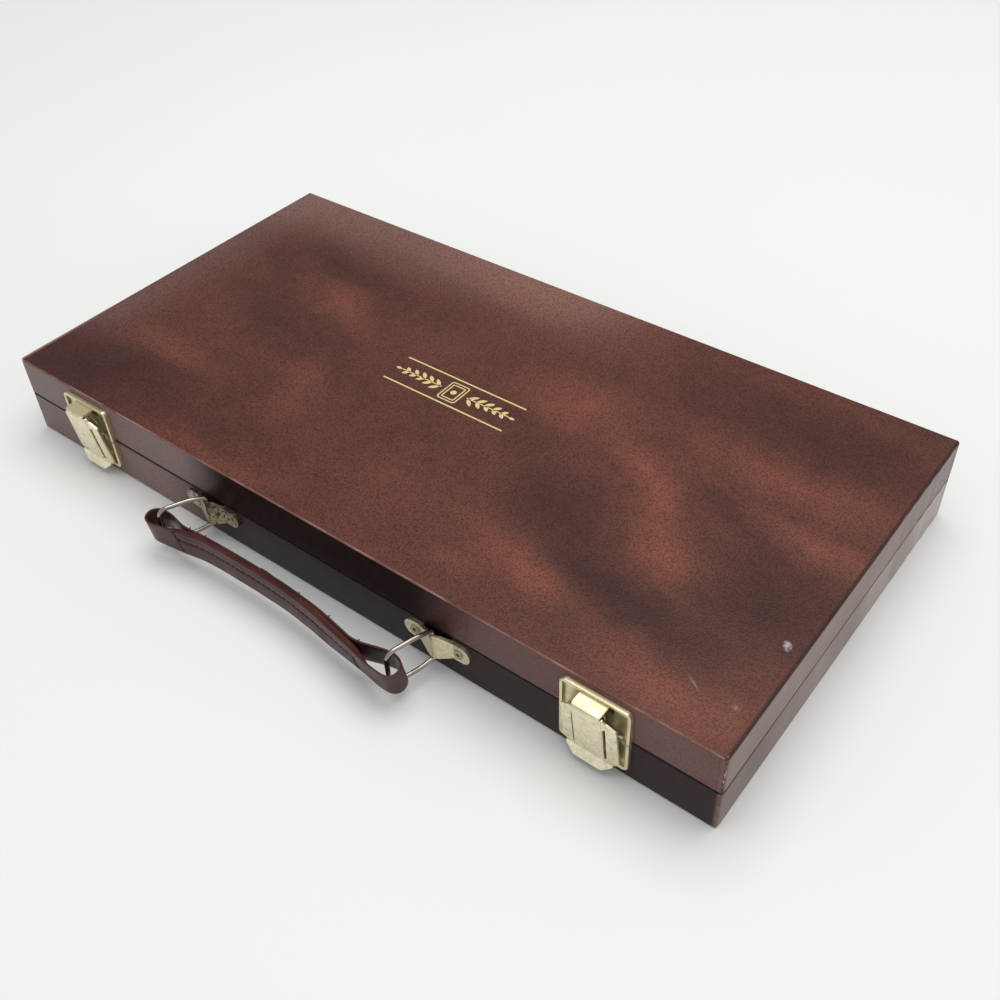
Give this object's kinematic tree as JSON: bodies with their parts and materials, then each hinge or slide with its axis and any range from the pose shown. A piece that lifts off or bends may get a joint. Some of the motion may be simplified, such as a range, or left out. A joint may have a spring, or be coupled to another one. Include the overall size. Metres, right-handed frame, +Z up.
{
  "type": "tile game case",
  "caption": "Slim hinged carrying case for a rummy tile set, covered board with brass latches, a strap handle on rings and a formed insert.",
  "frame": {"origin": "centre of the case's bottom face", "axes": "+X along the case's length, to the right as seen from the latches; -Y out of the face with the latches and handle; +Z up, through the lid"},
  "size_m": [0.385, 0.2312, 0.0422],
  "materials": {
    "cover": "pebble-grained vinyl leathercloth, satin",
    "board": "pressed board",
    "lining": "paper-backed lining cloth",
    "tray": "flocked formed sheet",
    "plated": "worn pale brass plating",
    "steel": "plain drawn wire",
    "strap": "stitched leathercloth, satin",
    "core": "moulded strip"
  },
  "bodies": {
    "base": {"base_cover": "cover", "base_bottom_sheet": "cover", "base_bottom_board": "board", "base_front_rail": "board", "base_back_rail": "board", "base_left_rail": "board", "base_right_rail": "board", "insert_tray": "tray", "hinge_left_base_leaf": "plated", "hinge_right_base_leaf": "plated", "hinge_base_screws": "plated", "hinge_left_pin": "steel", "hinge_right_pin": "steel", "latch_left_base_plate": "plated", "handle_bracket_left": "plated", "latch_left_pin": "steel", "latch_left_springs": "steel", "latch_right_base_plate": "plated", "handle_bracket_right": "plated", "latch_right_pin": "steel", "latch_right_springs": "steel", "latch_base_rivets": "plated", "handle_bracket_rivets": "plated"},
    "lid": {"lid_cover": "cover", "lid_top_board": "board", "lid_front_rail": "board", "lid_back_rail": "board", "lid_left_rail": "board", "lid_right_rail": "board", "lid_lining": "lining", "hinge_left_lid_leaf": "plated", "hinge_right_lid_leaf": "plated", "latch_left_lid_plate": "plated", "latch_right_lid_plate": "plated", "hinge_lid_screws": "plated", "latch_lid_rivets": "plated"},
    "lever_left": {"latch_left_lever": "plated"},
    "lever_right": {"latch_right_lever": "plated"},
    "ring_left": {"handle_ring_left": "plated"},
    "ring_right": {"handle_ring_right": "plated"},
    "strap": {"handle_strap": "strap", "handle_core": "core"}
  },
  "joints": [
    {"name": "lid_hinge", "type": "hinge", "parent": "base", "child": "lid", "pos_m": [0, 0.1014, 0.02165], "axis": [-1, 0, 0], "range_deg": [0, 180]},
    {"name": "lever_left_pivot", "type": "hinge", "parent": "base", "child": "lever_left", "pos_m": [-0.143, -0.1012, 0.0245], "axis": [-1, 0, 0], "range_deg": [0, 24], "stiffness_Nm_per_rad": 0.01, "springref_deg": -22.92},
    {"name": "lever_right_pivot", "type": "hinge", "parent": "base", "child": "lever_right", "pos_m": [0.1415, -0.1012, 0.0245], "axis": [-1, 0, 0], "range_deg": [0, 24], "stiffness_Nm_per_rad": 0.01, "springref_deg": -22.92},
    {"name": "ring_left_swing", "type": "hinge", "parent": "base", "child": "ring_left", "pos_m": [-0.062, -0.1019, 0.0158], "axis": [0, 0, 1], "range_deg": [-40, 80]},
    {"name": "ring_right_swing", "type": "hinge", "parent": "base", "child": "ring_right", "pos_m": [0.0675, -0.1019, 0.0158], "axis": [0, 0, 1], "range_deg": [-40, 80]},
    {"name": "strap_swing", "type": "hinge", "parent": "ring_left", "child": "strap", "pos_m": [-0.07125, -0.1212, 0.0158], "axis": [0, 0, 1], "range_deg": [-79, 40]}
  ],
  "couplings": [
    {"joint": "ring_right_swing", "follows": "ring_left_swing", "ratio": 1},
    {"joint": "strap_swing", "follows": "ring_left_swing", "ratio": -0.978}
  ]
}
